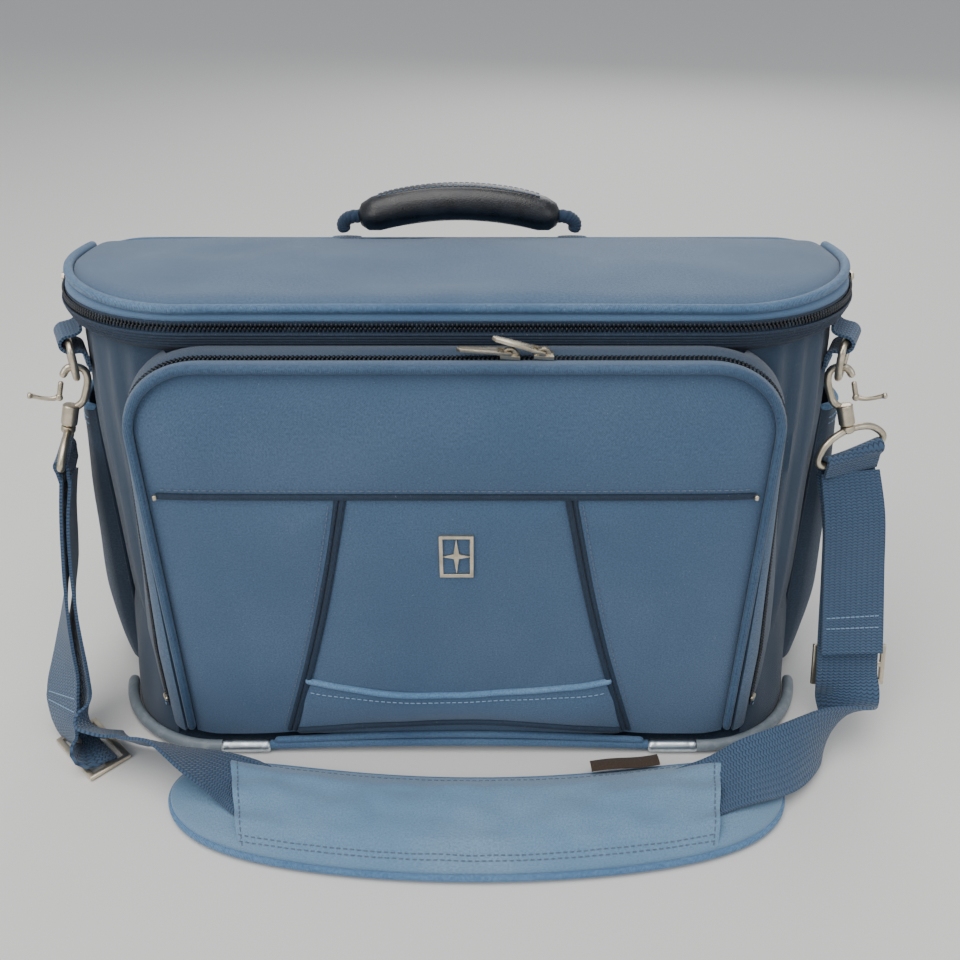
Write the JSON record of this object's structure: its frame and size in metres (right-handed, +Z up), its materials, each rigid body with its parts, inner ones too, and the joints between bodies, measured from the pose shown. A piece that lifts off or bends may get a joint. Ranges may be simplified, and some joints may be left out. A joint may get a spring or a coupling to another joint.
{
  "type": "soft-sided flight bag",
  "caption": "Soft-sided crew bag with a zipped lid, a zipped front pocket, end pockets, a top grip and a padded shoulder strap on snap hooks.",
  "frame": {"origin": "on the table under the bag, midway across its width, 97 mm behind the front pocket's face", "axes": "+Z up, -Y out of the front pocket, +X to the right seen from the front"},
  "size_m": [0.533, 0.2794, 0.308],
  "materials": {
    "body_cloth": "fine ballistic weave, slate blue",
    "dark_cloth": "fine weave, dark underside",
    "trim_cloth": "woven binding over cord",
    "zip_coil": "spiral nylon coil on woven tape",
    "nickel": "polished warm nickel",
    "ferrule_metal": "polished nickel sleeve",
    "grip_leather": "smooth dark leather with a stitched seam",
    "webbing": "ribbed navy webbing",
    "base_stiffener": "stiff black sheet",
    "lining": "plain woven lining",
    "guard_rubber": "semi-gloss extruded bumper",
    "pad_cloth": "lighter blue padded cloth",
    "label_cloth": "woven brown tab"
  },
  "bodies": {
    "bag": {"base_panel": "dark_cloth", "base_board": "base_stiffener", "corner_guard_left": "guard_rubber", "corner_guard_right": "guard_rubber", "guard_ferrule_left": "ferrule_metal", "guard_ferrule_right": "ferrule_metal", "base_front_piping": "trim_cloth", "front_wall": "body_cloth", "left_wall": "body_cloth", "right_wall": "body_cloth", "back_wall": "body_cloth", "divider_panel": "lining", "rim_band": "trim_cloth", "lid_zip_lower": "zip_coil", "rear_deck": "body_cloth", "pocket_gusset": "body_cloth", "pocket_zip_rear": "zip_coil", "end_pocket_left": "body_cloth", "end_pocket_right": "body_cloth", "back_sleeve": "body_cloth", "handle_patch_left": "webbing", "handle_patch_right": "webbing", "ring_tab_left": "webbing", "ring_tab_right": "webbing", "swivel_eye_left": "nickel", "swivel_eye_right": "nickel", "adjuster_left": "nickel", "adjuster_right": "nickel", "strap_main": "webbing", "strap_return_left": "webbing", "strap_return_right": "webbing", "pad_cushion": "pad_cloth", "pad_sleeve": "pad_cloth", "pad_label": "label_cloth"},
    "lid": {"lid_shell": "body_cloth", "lid_zip_upper": "zip_coil", "lid_piping": "trim_cloth"},
    "pocket_flap": {"pocket_face": "body_cloth", "pocket_flap_gusset": "body_cloth", "pocket_zip_front": "zip_coil", "pocket_piping": "trim_cloth", "low_pocket_panel": "body_cloth", "badge": "nickel"},
    "handle": {"handle_grip": "grip_leather", "handle_cord": "webbing"},
    "pocket_slider_left": {"pocket_slider_left": "nickel"},
    "pocket_slider_right": {"pocket_slider_right": "nickel"},
    "pocket_pull_left": {"pocket_pull_left": "nickel"},
    "pocket_pull_right": {"pocket_pull_right": "nickel"},
    "lid_slider_left": {"lid_slider_left": "nickel"},
    "lid_pull_left": {"lid_pull_left": "nickel"},
    "d_ring_left": {"d_ring_left": "nickel"},
    "hook_left": {"hook_left": "nickel"},
    "hook_gate_left": {"hook_gate_left": "nickel"},
    "lid_slider_right": {"lid_slider_right": "nickel"},
    "lid_pull_right": {"lid_pull_right": "nickel"},
    "d_ring_right": {"d_ring_right": "nickel"},
    "hook_right": {"hook_right": "nickel"},
    "hook_gate_right": {"hook_gate_right": "nickel"}
  },
  "joints": [
    {"name": "lid_hinge", "type": "hinge", "parent": "bag", "child": "lid", "pos_m": [0, 0.046, 0.276], "axis": [-1, 0, 0], "range_deg": [0, 80]},
    {"name": "pocket_flap_hinge", "type": "hinge", "parent": "bag", "child": "pocket_flap", "pos_m": [0, -0.097, 0.0105], "axis": [1, 0, 0], "range_deg": [0, 45]},
    {"name": "handle_rock", "type": "hinge", "parent": "bag", "child": "handle", "pos_m": [0, 0.066, 0.2808], "axis": [-1, 0, 0], "range_deg": [-30, 45]},
    {"name": "pocket_slider_left_slide", "type": "slide", "parent": "bag", "child": "pocket_slider_left", "axis": [-1, 0, 0], "range_m": [0, 0.12]},
    {"name": "pocket_slider_right_slide", "type": "slide", "parent": "bag", "child": "pocket_slider_right", "axis": [1, 0, 0], "range_m": [0, 0.075]},
    {"name": "pocket_pull_left_swing", "type": "hinge", "parent": "pocket_slider_left", "child": "pocket_pull_left", "pos_m": [0.028, -0.0848, 0.2657], "axis": [0, 1, 0], "range_deg": [-3, 20]},
    {"name": "pocket_pull_right_swing", "type": "hinge", "parent": "pocket_slider_right", "child": "pocket_pull_right", "pos_m": [0.045, -0.0848, 0.2657], "axis": [0, 1, 0], "range_deg": [0, 130]},
    {"name": "lid_slider_left_slide", "type": "slide", "parent": "bag", "child": "lid_slider_left", "axis": [0, -1, 0], "range_m": [0, 0.014]},
    {"name": "lid_pull_left_swing", "type": "hinge", "parent": "lid_slider_left", "child": "lid_pull_left", "pos_m": [-0.2297, 0.035, 0.2711], "axis": [0, 0, -1], "range_deg": [0, 140]},
    {"name": "d_ring_left_swing", "type": "hinge", "parent": "bag", "child": "d_ring_left", "pos_m": [-0.22127, -0.02295, 0.247], "axis": [0.45, -0.893, 0], "range_deg": [-2.5, 2.5]},
    {"name": "hook_left_swivel", "type": "hinge", "parent": "bag", "child": "hook_left", "pos_m": [-0.22721, -0.02594, 0.20413], "axis": [0.276, 0.1391, 0.9511], "range_deg": [-15, 15]},
    {"name": "hook_gate_left_press", "type": "hinge", "parent": "hook_left", "child": "hook_gate_left", "pos_m": [-0.2315, -0.02811, 0.212], "axis": [-0.45, 0.893, 0], "range_deg": [0, 25], "stiffness_Nm_per_rad": 0.03, "springref_deg": -11.46},
    {"name": "lid_slider_right_slide", "type": "slide", "parent": "bag", "child": "lid_slider_right", "axis": [0, -1, 0], "range_m": [0, 0.014]},
    {"name": "lid_pull_right_swing", "type": "hinge", "parent": "lid_slider_right", "child": "lid_pull_right", "pos_m": [0.2297, 0.035, 0.2711], "axis": [0, 0, 1], "range_deg": [0, 140]},
    {"name": "d_ring_right_swing", "type": "hinge", "parent": "bag", "child": "d_ring_right", "pos_m": [0.22127, -0.02295, 0.247], "axis": [0.45, 0.893, 0], "range_deg": [-2.5, 2.5]},
    {"name": "hook_right_swivel", "type": "hinge", "parent": "bag", "child": "hook_right", "pos_m": [0.22721, -0.02594, 0.20413], "axis": [-0.276, 0.1391, 0.9511], "range_deg": [-15, 15]},
    {"name": "hook_gate_right_press", "type": "hinge", "parent": "hook_right", "child": "hook_gate_right", "pos_m": [0.2315, -0.02811, 0.212], "axis": [-0.45, -0.893, 0], "range_deg": [0, 25], "stiffness_Nm_per_rad": 0.03, "springref_deg": -11.46}
  ]
}
